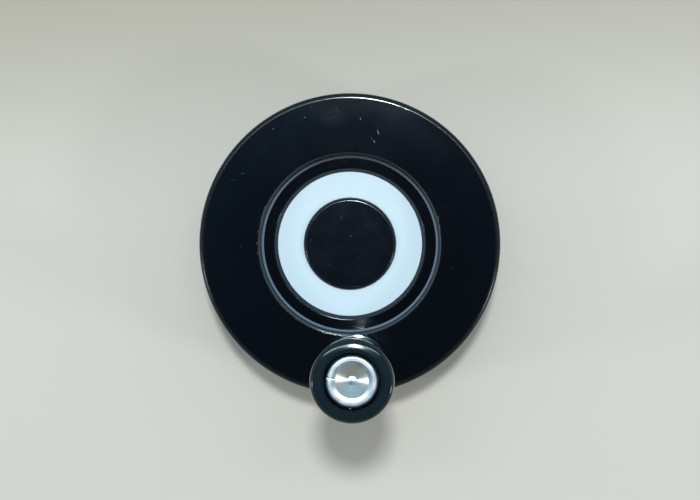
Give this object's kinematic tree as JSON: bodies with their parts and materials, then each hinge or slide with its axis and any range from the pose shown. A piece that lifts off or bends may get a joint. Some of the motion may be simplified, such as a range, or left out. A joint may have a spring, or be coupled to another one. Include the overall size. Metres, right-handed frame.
{
  "type": "disc handwheel",
  "caption": "Solid black disc handwheel with a stepped recess, pale trim ring, hub cap and a revolving handle on a plated spindle.",
  "frame": {"origin": "on the wheel's axis, at the hub's back face", "axes": "+Z along the wheel's axis out of the front face, so the hub's back face looks along -Z; the handle stands towards -Y; +X to the right seen from the front"},
  "size_m": [0.1, 0.1022, 0.0917],
  "materials": {
    "black_moulding": "polished phenolic moulding, finely scratched",
    "black_cap": "polished moulded cap, finely scratched",
    "black_grip": "glossy grip, slightly dulled by handling",
    "pale_trim": "smooth satin, pale ice blue",
    "adhesive_film": "translucent adhesive film",
    "zinc_plated_steel": "turned and bright zinc plated",
    "blackened_steel": "turned, oil blackened",
    "screw_steel": "black oxide",
    "brass": "turned brass",
    "acetal": "natural acetal"
  },
  "bodies": {
    "wheel": {"wheel_disc": "black_moulding", "hub_bush": "blackened_steel", "hub_set_screws": "screw_steel", "accent_ring_adhesive": "adhesive_film", "accent_ring": "pale_trim", "hub_cap": "black_cap", "spindle_insert": "brass", "spindle_lock_washer": "screw_steel", "spindle_base_washer": "zinc_plated_steel", "thrust_washer": "acetal", "handle_spindle": "zinc_plated_steel", "head_washer": "acetal", "disc_spring": "screw_steel"},
    "grip": {"grip": "black_grip", "grip_bush_lower": "acetal", "grip_bush_upper": "acetal"}
  },
  "joints": [
    {"name": "grip_spin", "type": "hinge", "parent": "wheel", "child": "grip", "pos_m": [0, -0.0398, 0.03], "axis": [0, 0, 1], "continuous": true}
  ]
}
